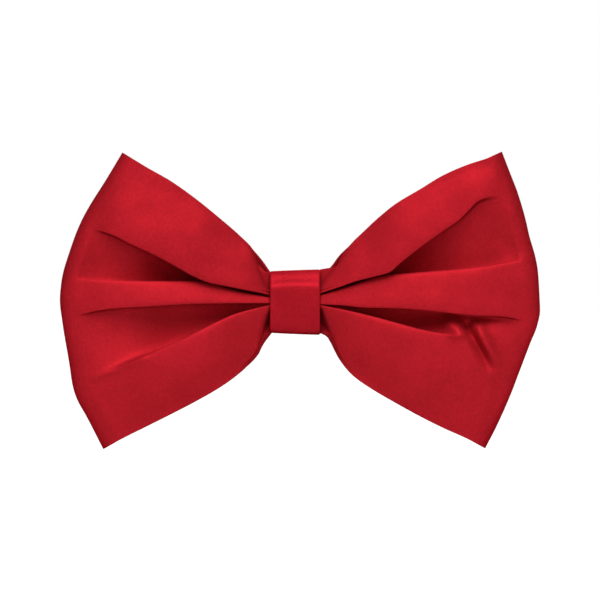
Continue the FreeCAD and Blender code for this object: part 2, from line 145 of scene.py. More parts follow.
# Small creases in the front sheets, as (start, end, half width, height of the crease) in mm.
LEFT_CREASES = [
    ((38.0, -14.2), (55.0, -21.2), 1.0, 0.3),
    ((40.0, -17.0), (56.0, -23.0), 1.6, -0.25),
    ((50.0, 12.0), (55.5, 11.4), 1.2, 0.2),
    ((14.0, 10.0), (30.0, 20.0), 2.2, 0.2),
]
RIGHT_CREASES = [
    ((39.2, -5.6), (43.0, -8.6), 1.9, 2.6),
    ((43.2, -6.4), (49.4, -17.8), 1.2, -2.6),
    ((45.6, -6.6), (51.2, -16.8), 1.6, 1.8),
    ((51.0, -20.0), (55.0, -22.6), 1.5, -0.4),
    ((54.0, 13.4), (60.5, 12.4), 2.0, -0.6),
    ((55.0, 17.4), (58.6, 16.9), 0.6, -0.5),
    ((54.5, 22.0), (57.5, 21.4), 1.2, 0.3),
]
LIE = ((14.0, 0.34), (5.5, 0.12))   # mm, the size and the height of the cloth's slight unevenness
LIE_START = 12.0            # mm out from the knot, over which that unevenness grows


def smooth(places, values, at):
    """The curve through the points, which never swings past them."""
    places, values = np.asarray(places, float), np.asarray(values, float)
    steps = np.diff(places)
    slopes = np.diff(values) / steps
    product = slopes[1:] * slopes[:-1]
    total = np.where(product > 0, slopes[1:] + slopes[:-1], 1.0)
    middle = np.where(product > 0, 2 * product / total, 0.0)
    tangents = np.concatenate([[slopes[0]], middle, [slopes[-1]]])
    i = np.clip(np.searchsorted(places, at, side="right") - 1, 0, len(steps) - 1)
    u = (at - places[i]) / steps[i]
    return ((1 + 2 * u) * (1 - u) ** 2 * values[i] + u * (1 - u) ** 2 * steps[i] * tangents[i]
            + u * u * (3 - 2 * u) * values[i + 1] - u * u * (1 - u) * steps[i] * tangents[i + 1])


# Where the front sheet meets the turn: out from the turn's centre, in from the edge, and its depth.
fold_out = FOLD_RADIUS * math.sin(math.radians(FOLD_START))
fold_in = FOLD_RADIUS - fold_out
fold_depth = REAR_DEPTH[1] + FOLD_RADIUS * (1 + math.cos(math.radians(FOLD_START)))


def fold_line(wing, name, t, short):
    """Depth and height of one fold line at t, from 0 at the knot to 1 just short of the wing's edge."""
    points = wing[name]
    start, end = points[0][0], points[-1][0] - short
    height = smooth([x for x, z in points], [z for x, z in points], start + (end - start) * t)
    depth = smooth(DEPTH_PLACES, DEPTHS[name] + (fold_depth,), t)
    return np.array([depth, height])


def pleat(line, t, height_shift, share):
    """The hidden bottom of a pleat behind a fold line."""
    back = smooth(DEPTH_PLACES, RECESS, t) * smooth(PLEAT_PLACES, share, t)
    return line + (-back, smooth(PLEAT_PLACES, height_shift, t))


def halfway(a, b, bulge):
    """The place between two lines, where the cloth bulges forwards."""
    return (a + b) / 2 + (bulge, 0.0)


SPANS = (6, 6, 18, 18, 4, 9, 12, 7, 4, 8, 8, 4, 7, 12, 9, 4, 18, 18, 6, 6)  # steps between the points
# How far the cloth bulges between two lines, in mm: everywhere, and more where the wing is open.
UPPER_BULGE = (0.2, 0.4)
RIDGE_BULGE = (0.1, 0.3)
LOWER_BULGE = (0.3, 1.1)
OPENNESS = ((0, 0.5, 1), (0, 1, 0.3))   # places from knot to edge, and how open the wing is there
PINCH = 0.8                 # mm the thin strips along the ribbon's edges are drawn back at the knot
PINCH_REACH = 0.2           # how far out into the wing that goes
PRESSED = 0.12              # a fold's pressed side stands this share of the way to its pleat's bottom


def front_section(wing, pleats, t, short=fold_in):
    """The front sheet's fold points at t, from the ribbon's top edge to its bottom edge."""
    lines = {name: fold_line(wing, name, t, short) for name in wing}
    behind = {name: pleat(lines[name], t, *pleats[name]) for name in pleats}
    top, bottom = lines["top edge"], lines["bottom edge"]
    upper, lower = lines["upper lobe, inner edge"], lines["lower lobe, inner edge"]
    upper_fold, lower_fold = lines["upper lobe, fold"], lines["lower lobe, fold"]
    ridge_top, ridge_bottom = lines["ridge, top"], lines["ridge, bottom"]
    open_wing = smooth(*OPENNESS, t)
    pinch = PINCH * max(0.0, 1 - t / PINCH_REACH)
    bulges = [least + more * open_wing for least, more in (UPPER_BULGE, RIDGE_BULGE, LOWER_BULGE)]
    pressed = {name: (1 - PRESSED) * lines[name] + PRESSED * behind[name] for name in pleats}
    return [
        top,
        halfway(top, upper, -pinch),
        upper,
        halfway(upper, upper_fold, bulges[0]),
        upper_fold,
        pressed["upper lobe, fold"],
        behind["upper lobe, fold"],
        behind["ridge, top"],
        pressed["ridge, top"],
        ridge_top,
        halfway(ridge_top, ridge_bottom, bulges[1]),
        ridge_bottom,
        pressed["ridge, bottom"],
        behind["ridge, bottom"],
        behind["lower lobe, fold"],
        pressed["lower lobe, fold"],
        lower_fold,
        halfway(lower_fold, lower, bulges[2]),
        lower,
        halfway(lower, bottom, -pinch),
        bottom,
    ]


def rounded(points, spans):
    """A line of cloth through the fold points, with a number of steps in each span."""
    points = np.array(points)
    padded = np.vstack([2 * points[0] - points[1], points, 2 * points[-1] - points[-2]])
    lengths = np.linalg.norm(np.diff(padded, axis=0), axis=1)
    knots = np.concatenate([[0], np.cumsum(np.sqrt(lengths) + 1e-6)])
    out = []
    for i, count in enumerate(spans):
        p0, p1, p2, p3 = padded[i:i + 4]
        t0, t1, t2, t3 = knots[i:i + 4]
        last = i == len(spans) - 1
        t = np.linspace(t1, t2, count + 1)[:None if last else -1, None]
        a1 = (t1 - t) / (t1 - t0) * p0 + (t - t0) / (t1 - t0) * p1
        a2 = (t2 - t) / (t2 - t1) * p1 + (t - t1) / (t2 - t1) * p2
        a3 = (t3 - t) / (t3 - t2) * p2 + (t - t2) / (t3 - t2) * p3
        b1 = (t2 - t) / (t2 - t0) * a1 + (t - t0) / (t2 - t0) * a2
        b2 = (t3 - t) / (t3 - t1) * a2 + (t - t1) / (t3 - t1) * a3
        out.append((t2 - t) / (t2 - t1) * b1 + (t - t1) / (t2 - t1) * b2)
    return np.vstack(out)


FRONT_PLACES = np.linspace(0, 1, 112) ** 1.15   # rows from the knot to the edge, closer at the knot
REAR_PLACES = np.linspace(0, 1, 40) ** 1.1
TURN_ROWS = 16              # round the fold at a wing's outer edge
REAR_GATHERS = 5            # small pleats in the rear sheet, which fade out across the wing
REAR_GATHER_DEPTH = 0.8     # mm
REAR_EDGE_TURN = 1.2        # mm the rear sheet's edges lean, forwards at the top and back below
REAR_EDGE_POWER = 6         # a higher power keeps that lean nearer to the edges


def wing_rows(wing, rear, pleats, creases, outline, side):
    """The ribbon's rows in one wing, from the rear sheet at the knot round to the front sheet."""
    sections = [rounded(front_section(wing, pleats, t), SPANS) for t in FRONT_PLACES]
    front_end = sections[-1][:, 1]
    tip = rounded(front_section(wing, pleats, 1, short=0.0), SPANS)[:, 1]
    turn_x = smooth([z for z, x in outline], [x for z, x in outline], tip) - FOLD_RADIUS
    share = (tip - tip[-1]) / (tip[0] - tip[-1])
    rows = []
    for t in REAR_PLACES:
        top, bottom = rear_edges(wing, rear, t)
        gather = (1 - t) ** 2 * np.sin(2 * math.pi * REAR_GATHERS * share) * np.sin(math.pi * share)
        edges = (1 - t) ** 2 * (share ** REAR_EDGE_POWER - (1 - share) ** REAR_EDGE_POWER)
        depth = REAR_DEPTH[0] + (REAR_DEPTH[1] - REAR_DEPTH[0]) * t
        depth = depth + REAR_GATHER_DEPTH * gather + REAR_EDGE_TURN * edges
        x = KNOT_HALF + (turn_x - KNOT_HALF) * t
        rows.append(np.column_stack([x, depth, bottom + (top - bottom) * share]))
    rear_end = rows[-1][:, 2]
    for turn in np.radians(np.linspace(180, FOLD_START, TURN_ROWS)[1:-1]):
        out = FOLD_RADIUS * math.sin(turn)
        depth = REAR_DEPTH[1] + FOLD_RADIUS * (1 + math.cos(turn))
        if math.cos(turn) < 0:
            height = rear_end + (tip - rear_end) * out / FOLD_RADIUS
        else:
            height = front_end + (tip - front_end) * max(0.0, out - fold_out) / fold_in
        row = np.column_stack([turn_x + out, np.full(len(tip), depth), height])
        rows.append(uneven(row, creases, side))
    for t, section in zip(FRONT_PLACES[::-1], sections[::-1]):
        row = np.column_stack([KNOT_HALF + (turn_x + fold_out - KNOT_HALF) * t, section])
        rows.append(uneven(row, creases, side))
    return [row * (side, 1, 1) for row in rows]


def rear_edges(wing, rear, t):
    """Heights of the rear sheet's top and bottom edges, which run straight in under the knot."""
    heights = []
    for name in ("top edge", "bottom edge"):
        points = rear[name] + wing[name][3:]    # from the front edge's fourth point on, both are one
        x = points[0][0] + (points[-1][0] - FOLD_RADIUS - points[0][0]) * t
        heights.append(smooth([p[0] for p in points], [p[1] for p in points], x))
    return heights


def uneven(row, creases, side):
    """A row of cloth with its creases and the slight unevenness of a handled cloth."""
    row = row.copy()
    x, height = row[:, 0].copy(), row[:, 2].copy()
    from_knot = np.clip((x - KNOT_HALF) / LIE_START, 0, 1)
    for start, end, half_width, rise in creases:
        start, end = np.array(start), np.array(end)
        way = end - start
        along = np.clip(((x - start[0]) * way[0] + (height - start[1]) * way[1]) / (way @ way), 0, 1)
        away = np.hypot(x - start[0] - along * way[0], height - start[1] - along * way[1])
        row[:, 1] += rise * (1 - along ** 2) * np.exp(-(away / half_width) ** 2)
    for size, rise in LIE:
        waves = [noise.noise((side * a / size, b / size, size)) for a, b in zip(x, height)]
        row[:, 1] += rise * np.array(waves) * from_knot
    return row


INSIDE = (2.5, 5.0)         # mm from the middle, the rows inside the knot
RIBBON_END = 0.3            # mm from the middle, where the ribbon's two ends meet behind the gathers
INSIDE_DEPTH = 10.0         # mm in front of the collar, the furthest that the gathers stand in the knot
INSIDE_SQUEEZE = 0.8        # their height there, as a share of the height beside the knot


def under_knot(row, x):
    """A row of the gathers inside the knot, where they are pressed together."""
    squeezed = row.copy()
    squeezed[:, 0] = x
    squeezed[:, 1] = np.minimum(row[:, 1], INSIDE_DEPTH)
    squeezed[:, 2] *= INSIDE_SQUEEZE
    return squeezed


right = wing_rows(RIGHT_WING, RIGHT_REAR, RIGHT_PLEATS, RIGHT_CREASES, RIGHT_EDGE, 1)
left = wing_rows(LEFT_WING, LEFT_REAR, LEFT_PLEATS, LEFT_CREASES, LEFT_EDGE, -1)
rows = [under_knot(right[0], x) for x in (RIBBON_END,) + INSIDE] + right
rows += [under_knot(right[-1], x) for x in INSIDE[::-1]]
rows += [under_knot(left[-1], -x) for x in INSIDE]
rows += left[::-1] + [under_knot(left[0], -x) for x in INSIDE[::-1] + (RIBBON_END,)]


def cloth_mesh(name, grid):
    """A mesh of four-sided faces over a grid of points given as x, depth and height in mm."""
    count, width = grid.shape[:2]
    points = grid.reshape(-1, 3) * (MM, -MM, MM)
    at = np.arange(count * width).reshape(count, width)
    faces = np.stack([at[:-1, :-1], at[1:, :-1], at[1:, 1:], at[:-1, 1:]], -1).reshape(-1, 4)
    mesh = bpy.data.meshes.new(name)
    mesh.from_pydata(points.tolist(), [], faces.tolist())
    along = np.linalg.norm(np.diff(grid, axis=0), axis=2).max(1)
    across = np.linalg.norm(np.diff(grid, axis=1), axis=2).max(0)
    u = np.concatenate([[0], np.cumsum(across)]) * MM
    v = np.concatenate([[0], np.cumsum(along)]) * MM
    flat = np.stack(np.meshgrid(u, v), -1).reshape(-1, 2)
    weave = mesh.uv_layers.new(name="weave")
    weave.data.foreach_set("uv", flat[faces.reshape(-1)].reshape(-1).astype(np.float32))
    mesh.polygons.foreach_set("use_smooth", [True] * len(faces))
    obj = bpy.data.objects.new(name, mesh)
    bpy.context.scene.collection.objects.link(obj)
    return obj


bow = cloth_mesh("bow_ribbon", np.array(rows))
plies = bow.modifiers.new("plies", "SOLIDIFY")
plies.thickness = RIBBON_THICKNESS
plies.offset = -1.0

SATIN_GLINT = (0.4, 0.03, 0.04, 1.0)    # even a glancing light comes back red from satin
SHADES = (0.88, 1.12)       # the dye's palest and deepest places, as shares of the colour
GLOSS_CHANGE = 0.05         # how much rougher or smoother the satin is in places
WEAVE_SCALE = 827.606       # a thread about every 0.38 mm
WEAVE_HEIGHT = 0.12 * MM


def satin(name, colour, roughness=0.44, shine=0.3):
    """Woven satin: a fine weave, a broad soft shine, and small uneven places in colour and lie."""
    material = bpy.data.materials.new(name)
    material.use_nodes = True
    tree = material.node_tree
    new, link = tree.nodes.new, tree.links.new
    shader = tree.nodes["Principled BSDF"]
    shader.inputs["Metallic"].default_value = shine
    shader.inputs["Specular IOR Level"].default_value = 0.0
    shader.inputs["Specular Tint"].default_value = SATIN_GLINT
    place = new("ShaderNodeTexCoord")
    cloud, fleck = new("ShaderNodeTexNoise"), new("ShaderNodeTexNoise")
    for patches, scale, detail in ((cloud, 110.0, 5.0), (fleck, 1500.0, 2.0)):
        patches.inputs["Scale"].default_value = scale
        patches.inputs["Detail"].default_value = detail
        link(place.outputs["Object"], patches.inputs["Vector"])
    both = new("ShaderNodeMath")
    both.operation = "ADD"
    link(cloud.outputs["Fac"], both.inputs[0])
    link(fleck.outputs["Fac"], both.inputs[1])
    tint = new("ShaderNodeMapRange")
    tint.inputs["From Min"].default_value = 0.7
    tint.inputs["From Max"].default_value = 1.3
    tint.inputs["To Min"].default_value, tint.inputs["To Max"].default_value = SHADES
    link(both.outputs["Value"], tint.inputs["Value"])
    dye = new("ShaderNodeVectorMath")
    dye.operation = "SCALE"
    dye.inputs[0].default_value = colour
    link(tint.outputs["Result"], dye.inputs["Scale"])
    link(dye.outputs["Vector"], shader.inputs["Base Color"])
    gloss = new("ShaderNodeMapRange")
    gloss.inputs["To Min"].default_value = roughness - GLOSS_CHANGE
    gloss.inputs["To Max"].default_value = roughness + GLOSS_CHANGE
    link(cloud.outputs["Fac"], gloss.inputs["Value"])
    link(gloss.outputs["Result"], shader.inputs["Roughness"])
    waves = []
    for direction in ("X", "Y"):
        wave = new("ShaderNodeTexWave")
        wave.bands_direction = direction
        wave.inputs["Scale"].default_value = WEAVE_SCALE
        wave.inputs["Distortion"].default_value = 2.0
        wave.inputs["Detail"].default_value = 1.0
        link(place.outputs["UV"], wave.inputs["Vector"])
        waves.append(wave)
    weave = new("ShaderNodeMath")
    weave.operation = "MULTIPLY"
    for i, wave in enumerate(waves):
        link(wave.outputs["Fac"], weave.inputs[i])
    surface = new("ShaderNodeMath")
    surface.operation = "ADD"
    link(weave.outputs["Value"], surface.inputs[0])
    link(fleck.outputs["Fac"], surface.inputs[1])
    lie = new("ShaderNodeBump")
    lie.inputs["Strength"].default_value = 0.2
    lie.inputs["Distance"].default_value = WEAVE_HEIGHT
    link(surface.outputs["Value"], lie.inputs["Height"])
    link(lie.outputs["Normal"], shader.inputs["Normal"])
    return material


RED = (0.45, 0.0125, 0.021)
bow.data.materials.append(satin("bow satin", RED))
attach(bow, "bow_and_band")
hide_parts("bow_face_cloth", "bow_interlining", "bow_lining_cloth")

# ---- The knot -----------------------------------------------------------------------------------
# A narrow strip of the same satin with both edges turned under. It is wrapped once round the
# gathers and the neck band, pulled tight, and its ends are stitched together underneath.
KNOT_PROFILE = [            # (depth, height) in mm, round the knot from the middle of its back
    (0.0, 0.0), (0.0, 5.8), (0.5, 7.1), (1.8, 7.6), (4.5, 7.75), (7.4, 7.85), (9.0, 7.7),
    (9.9, 6.9), (10.9, 5.4), (11.8, 4.0), (12.05, 3.0), (11.9, 0.5), (11.6, -3.0), (11.1, -6.2),
    (10.4, -7.6), (8.8, -8.1), (4.5, -7.72), (1.8, -7.65), (0.5, -7.1), (0.0, -5.8),
]
KNOT_STEPS = 7              # between two points of that outline
KNOT_WIDTH = 12.6
KNOT_CLOTH = 0.8            # mm, the satin with its stiff inner ply
KNOT_CROWN = 0.06           # mm, by which the cloth stands out along the middle
KNOT_SLOPE = 0.04           # the knot sits a little askew: it is taller on the right
KNOT_SLOPE_OVER = 8.0       # mm from the middle, and mm of depth, at which it is that much taller
KNOT_ARCH = 0.35            # mm, by which its pressed front crease rises in the middle
KNOT_CREASE = (4.0, 1.5)    # mm, that crease's height and half its width
KNOT_FRONT = 9.0            # mm, the depth at which the knot's front begins
KNOT_BACK = 2.0             # mm, and the depth at which its flat back ends
# Painted shade: the bow's red satin, made a little darker and deeper for the knot so that its front looks
# dimmer.
KNOT_RED_WITH_PAINTED_SHADE = (0.42, 0.010, 0.019)


def closed_round(points, steps):
    """A closed outline through the points, with a number of steps between each two."""
    points = np.array(points)
    ring = np.vstack([points[-1:], points, points[:2]])
    fine = rounded(ring, [steps] * (len(ring) - 1))
    return fine[steps:steps * (len(points) + 1)]


profile = closed_round(KNOT_PROFILE, KNOT_STEPS)
along = np.roll(profile, -1, 0) - np.roll(profile, 1, 0)
along /= np.linalg.norm(along, axis=1)[:, None]
outward = np.column_stack([-along[:, 1], along[:, 0]])
half, rim = KNOT_WIDTH / 2, KNOT_CLOTH / 2
rim_turns = np.radians(np.arange(22.5, 180, 22.5))
section = [(x, KNOT_CROWN * (1 - (x / half) ** 2)) for x in np.linspace(-half + rim, half - rim, 23)]
section += [(half - rim + rim * math.sin(a), rim * math.cos(a) - rim) for a in rim_turns]
section += [(x, -KNOT_CLOTH) for x in np.linspace(half - rim, -half + rim, 5)]
section += [(-half + rim - rim * math.sin(a), rim * math.cos(a) - rim) for a in rim_turns[::-1]]
crease_height, crease_half = KNOT_CREASE
knot_rows = []
for (depth, height), (out_depth, out_height) in zip(profile, outward):
    flat_back = min(1.0, depth / KNOT_BACK)
    row = []
    for x, out in section:
        lift = out * flat_back if out > 0 else out
        arch = KNOT_ARCH * (1 - (x / half) ** 2) * math.exp(-((height - crease_height) / crease_half) ** 2)
        z = height + out_height * lift + (arch if depth > KNOT_FRONT else 0.0)
        askew = 1 + KNOT_SLOPE * x / KNOT_SLOPE_OVER * min(1.0, depth / KNOT_SLOPE_OVER)
        row.append((x, depth + out_depth * lift, z * askew))
    row.append(row[0])
    knot_rows.append(row)
knot_rows.append(knot_rows[0])
knot = cloth_mesh("knot_wrap", np.array(knot_rows)[:, ::-1])
knot.data.materials.append(satin("knot satin", KNOT_RED_WITH_PAINTED_SHADE, roughness=0.38, shine=0.28))
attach(knot, "bow_and_band")
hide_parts("knot_cloth", "knot_interlining")

# ---- The neck band ------------------------------------------------------------------------------
# A long strip of the same satin, folded into a flat tube over a stiffening strip and closed by a
# seam along the middle of its inner face. It runs through the knot and once round the neck; one
# end is sewn round the eye's bar, and at the other it turns round the hook's bar.
NECK_RADIUS = 56.0          # mm, to the middle of the band's thickness
BAND_WIDTH = 12.7
BAND_THICKNESS = 1.2
BAND_SEAM_GROOVE = 0.3      # mm, how deep the two edges of the cloth roll in where they meet
FOLD_OVER = 9.0             # mm of band turned back and sewn at an end
EASE = 5.0                  # mm over which a turned-back layer comes down onto the other
GAP = 0.15                  # mm between layers, and between the cloth and the metal
BAR_RADIUS = 0.7            # mm, of the metal bars that the band is turned round
END_PRESS = 0.9             # mm of the band's two ends that are pressed thin
BAND_STEP = 1.6             # mm from one row of the band's mesh to the next
RIPPLE = (0.05, 7.0, 3.5)   # mm, the cloth's slight ripple: its height, length and width
WAVER = (0.006, 16.0)       # how much the band's width wavers, as a share, and over how many mm

joint_place = {joint["name"]: np.array(joint["pos_m"]) / MM for joint in frame["joints"]}
neck_centre = joint_place["slider_slide"][:2]
turn_radius = BAR_RADIUS + GAP + BAND_THICKNESS / 2
laid_layer = NECK_RADIUS + BAND_THICKNESS + GAP
outer_layer = NECK_RADIUS + 2 * turn_radius


def round_neck(angle, radius):
    """A level place round the neck, its angle in degrees from the knot towards +X."""
    a = math.radians(angle)
    return neck_centre + radius * np.array([math.sin(a), -math.cos(a)])


def degrees_of(length):
    """The angle that a length of band takes up round the neck."""
    return math.degrees(length / NECK_RADIUS)


def bar_angle(joint):
    """Where the bar that a fitting turns on stands round the neck."""
    x, y = joint_place[joint][:2] - neck_centre
    return math.degrees(math.atan2(x, -y))


def arc(start, end, start_radius, end_radius=None):
    """Places round the neck from one angle to another, easing from one radius to the other."""
    end_radius = start_radius if end_radius is None else end_radius
    count = max(4, int(abs(end - start) / degrees_of(BAND_STEP)))
    places = []
    for t in np.linspace(0, 1, count + 1):
        ease = t * t * (3 - 2 * t)
        radius = start_radius + (end_radius - start_radius) * ease
        places.append(round_neck(start + (end - start) * t, radius))
    return places


def half_turn(angle, start_radius, end_radius, way):
    """Places on a half circle between two layers, bulging the way that angles grow (1) or shrink (-1)."""
    middle, size = (start_radius + end_radius) / 2, abs(end_radius - start_radius) / 2
    towards = 1 if end_radius > start_radius else -1
    places = []
    for turn in np.linspace(-math.pi / 2, math.pi / 2, 15)[1:-1]:
        shift = math.degrees(math.cos(turn) * size / middle) * way
        places.append(round_neck(angle + shift, middle + towards * size * math.sin(turn)))
    return places


def flat_tube_section():
    """The cloth's line round the band, from the seam in its inner face round to the seam again."""
    half, thick = BAND_WIDTH / 2, BAND_THICKNESS / 2
    # The edge rolls out of the seam, the inner face bulges a little, and the fold above is round.
    side = [(-thick + BAND_SEAM_GROOVE, 0.03), (-thick + 0.12, 0.07), (-thick + 0.03, 0.22)]
    side += [(-thick, 0.5)]
    side += [(-thick - 0.03 * math.sin(math.pi * s), half * s) for s in (0.2, 0.35, 0.5, 0.65, 0.8)]
    side += [(-thick * math.cos(a), half - thick + thick * math.sin(a))
             for a in np.radians((0, 20, 40, 60, 80))]
    side += [(0.0, half)]
    outer_face = [(-across, height) for across, height in side[4:-1]][::-1]
    upper = side + outer_face
    return upper + [(thick + 0.04, 0.0)] + [(across, -height) for across, height in upper[::-1]]


def band_rows(places, seed):
    """The flat tube's rows along its line. Its ends are turned in and pressed thin."""
    places = np.array(places)
    along = np.gradient(places, axis=0)
    along /= np.linalg.norm(along, axis=1)[:, None]
    outwards = np.column_stack([along[:, 1], -along[:, 0]])
    run = np.concatenate([[0], np.cumsum(np.linalg.norm(np.diff(places, axis=0), axis=1))])
    tube = flat_tube_section()
    ripple_height, ripple_length, ripple_width = RIPPLE
    waver, waver_length = WAVER
    rows = []
    for place, out, so_far in zip(places, outwards, run):
        from_end = min(so_far, run[-1] - so_far)
        press = math.sqrt(max(0.01, 1 - max(0.0, 1 - from_end / END_PRESS) ** 2))
        row = []
        for across, height in tube:
            ripple = noise.noise((so_far / ripple_length + seed, height / ripple_width, 0.0))
            ripple *= ripple_height * (1 if across > 0 else -1)
            shift = across * press + (ripple if abs(across) > 0.5 else 0.0)
            level = height * (1 + waver * noise.noise((so_far / waver_length, seed, 0.0)))
            row.append((place[0] + out[0] * shift, -(place[1] + out[1] * shift), level))
        rows.append(row)
    return np.array(rows)


eye_angle, hook_angle = bar_angle("eye_swing"), bar_angle("hook_swing")
eye_fold_end = eye_angle + degrees_of(EASE)
band_line = arc(eye_fold_end + degrees_of(FOLD_OVER), eye_fold_end, laid_layer)
band_line += arc(eye_fold_end, eye_angle, laid_layer, outer_layer)[1:]
band_line += half_turn(eye_angle, outer_layer, NECK_RADIUS, -1)
band_line += arc(eye_angle, hook_angle, NECK_RADIUS)
band_line += half_turn(hook_angle, NECK_RADIUS, outer_layer, 1)
band_line += [round_neck(hook_angle, outer_layer)]
band = cloth_mesh("neck_band_tube", band_rows(band_line, 1.0))
band_satin = satin("band satin", RED, roughness=0.42)
band.data.materials.append(band_satin)
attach(band, "bow_and_band")
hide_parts("neck_band", "neck_band_core")

# ---- The band's tail ----------------------------------------------------------------------------
# The rest of the same tube, from the hook's bar back along the outside of the band to the slide
# adjuster, whose middle bar it is sewn round. On the tie it lengthens or shortens as the adjuster
# slides; this mesh is made at one length and stays fixed in place.
SLIDER_ANGLE = 120.0        # round the neck from the knot, in degrees
slider_layer = laid_layer + 2 * turn_radius
tail_start = hook_angle - degrees_of(GAP)
tail_laid = hook_angle - degrees_of(EASE)
tail_end = SLIDER_ANGLE + degrees_of(FOLD_OVER)
tail_line = arc(tail_start, tail_laid, outer_layer, laid_layer)
tail_line += arc(tail_laid, SLIDER_ANGLE, laid_layer)[1:]
tail_line += half_turn(SLIDER_ANGLE, laid_layer, slider_layer, -1)
tail_line += arc(SLIDER_ANGLE, tail_end, slider_layer)
tail = cloth_mesh("band_tail_tube", band_rows(tail_line, 7.0))
tail.data.materials.append(band_satin)
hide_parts("band_tail")
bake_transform(tail)

# ---- Thread -------------------------------------------------------------------------------------
# Red polyester thread: the turns that hold the gathers together inside the knot, the stitches that
# close the knot underneath, and a tack across the band at each of its two sewn folds.
THREAD_RED = (0.4, 0.006, 0.012)
THREAD = 0.16               # mm, half the thread's thickness
THREAD_GLINT = (1.0, 0.2, 0.2, 1.0)     # it shines red, as the satin does
THREAD_TWIST = 1100.0       # the twist's fineness


def thread_finish():
    """Twisted thread, with a soft shine along its strands."""
    material = bpy.data.materials.new("red thread")
    material.use_nodes = True
    tree = material.node_tree
    shader = tree.nodes["Principled BSDF"]
    shader.inputs["Roughness"].default_value = 0.55
    shader.inputs["Specular IOR Level"].default_value = 0.15
    shader.inputs["Specular Tint"].default_value = THREAD_GLINT
    place = tree.nodes.new("ShaderNodeTexCoord")
    twist = tree.nodes.new("ShaderNodeTexWave")
    twist.bands_direction = "DIAGONAL"
    twist.inputs["Scale"].default_value = THREAD_TWIST
    twist.inputs["Distortion"].default_value = 1.5
    shade = tree.nodes.new("ShaderNodeValToRGB")
    shade.color_ramp.elements[0].color = (*[0.6 * c for c in THREAD_RED], 1.0)
    shade.color_ramp.elements[1].color = (*THREAD_RED, 1.0)
    ply = tree.nodes.new("ShaderNodeBump")
    ply.inputs["Strength"].default_value = 0.6
    ply.inputs["Distance"].default_value = 0.00005
    tree.links.new(place.outputs["Object"], twist.inputs["Vector"])
    tree.links.new(twist.outputs["Fac"], shade.inputs["Fac"])
    tree.links.new(shade.outputs["Color"], shader.inputs["Base Color"])
    tree.links.new(twist.outputs["Fac"], ply.inputs["Height"])
    tree.links.new(ply.outputs["Normal"], shader.inputs["Normal"])
    return material


red_thread = thread_finish()
tack_thread = frame["nodes"]["pleat_tack_thread"]
tack_thread.data.materials.clear()
tack_thread.data.materials.append(red_thread)


def thread_run(points, sides=8):
    """A round thread through the points, thinning to nothing where it goes into the cloth."""
    points = np.array(points)
    along = np.gradient(points, axis=0)
    along /= np.linalg.norm(along, axis=1)[:, None]
    side = np.cross(along, (0.0, 0.0, 1.0))
    side /= np.linalg.norm(side, axis=1)[:, None]
    up = np.cross(side, along)
    turns = np.linspace(0, 2 * math.pi, sides, endpoint=False)[None, :, None]
    ring = np.cos(turns) * side[:, None] + np.sin(turns) * up[:, None]
    count = len(points)
    from_end = np.minimum(np.arange(count), np.arange(count)[::-1])
    thick = THREAD * np.sqrt(np.clip(from_end / 2, 0.05, 1))
    mesh_points = (points[:, None] + ring * thick[:, None, None]).reshape(-1, 3)
    faces = []
    for i in range(count - 1):
        for j in range(sides):
            here, beside = i * sides + j, i * sides + (j + 1) % sides
            faces.append((here, beside, beside + sides, here + sides))
    faces += [tuple(range(sides))[::-1], tuple((count - 1) * sides + j for j in range(sides))]
    return mesh_points, faces


def sewn(name, runs, body, node):
    """One piece of sewing, made of the runs of thread that show on the cloth."""
    points, faces = [], []
    for run in runs:
        new_points, new_faces = thread_run(run)
        faces += [tuple(k + len(points) for k in face) for face in new_faces]
        points += [tuple(p * MM) for p in new_points]
    mesh = bpy.data.meshes.new(name)
    mesh.from_pydata(points, [], faces)
    mesh.polygons.foreach_set("use_smooth", [True] * len(faces))
    mesh.materials.append(red_thread)
    stitches = bpy.data.objects.new(name, mesh)
    bpy.context.scene.collection.objects.link(stitches)
    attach(stitches, body)
    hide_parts(node)


STITCH_PLACES = np.linspace(-0.5, 0.5, 9)   # along one stitch
SEAM_STITCHES = 7
SEAM_STITCH = 1.5           # mm long
SEAM_MARGIN = 0.75          # mm of the knot's width that is left free at each side
SEAM_DEPTH = 3.5            # mm from the knot's back to the seam in its underside
SEAM_LEVEL = -7.79          # mm, the middle of a stitch, on the knot's underside
SEAM_BITE = 0.22            # mm, by which its ends go up into the cloth
SEAM_SLANT = 0.3            # mm, by which a stitch leans to the side
seam_runs = []
for i in range(SEAM_STITCHES):
    x = ((i + 0.5) / SEAM_STITCHES - 0.5) * (KNOT_WIDTH - 2 * SEAM_MARGIN)
    run = []
    for t in STITCH_PLACES:
        level = SEAM_LEVEL + SEAM_BITE * (2 * t) ** 4
        run.append((x + SEAM_SLANT * t, -SEAM_DEPTH - SEAM_STITCH * t, level))
    seam_runs.append(run)
sewn("knot_seam_stitches", seam_runs, "bow_and_band", "knot_closing_stitches")

TACK_STITCHES = 13
TACK_STITCH = 1.5           # mm along the band
TACK_SPAN = 0.72            # the row's length, as a share of the band's width
TACK_RISE = 0.13            # mm, by which a stitch stands out of the cloth
TACK_BITE = 0.3             # mm, by which its ends dip from there
TACK_SLANT = 0.35           # mm, by which a stitch leans upwards


def bar_tack(name, angle, inner, outer, body, node):
    """A row of short stitches across the band, showing on the faces of both layers."""
    runs = []
    for i in range(TACK_STITCHES):
        height = (i / (TACK_STITCHES - 1) - 0.5) * TACK_SPAN * BAND_WIDTH
        for radius, way in ((outer + BAND_THICKNESS / 2, 1), (inner - BAND_THICKNESS / 2, -1)):
            run = []
            for t in STITCH_PLACES:
                rise = way * (TACK_RISE - TACK_BITE * (2 * t) ** 4)
                x, y = round_neck(angle + degrees_of(TACK_STITCH * t), radius + rise)
                run.append((x, y, height + TACK_SLANT * t))
            runs.append(run)
    sewn(name, runs, body, node)


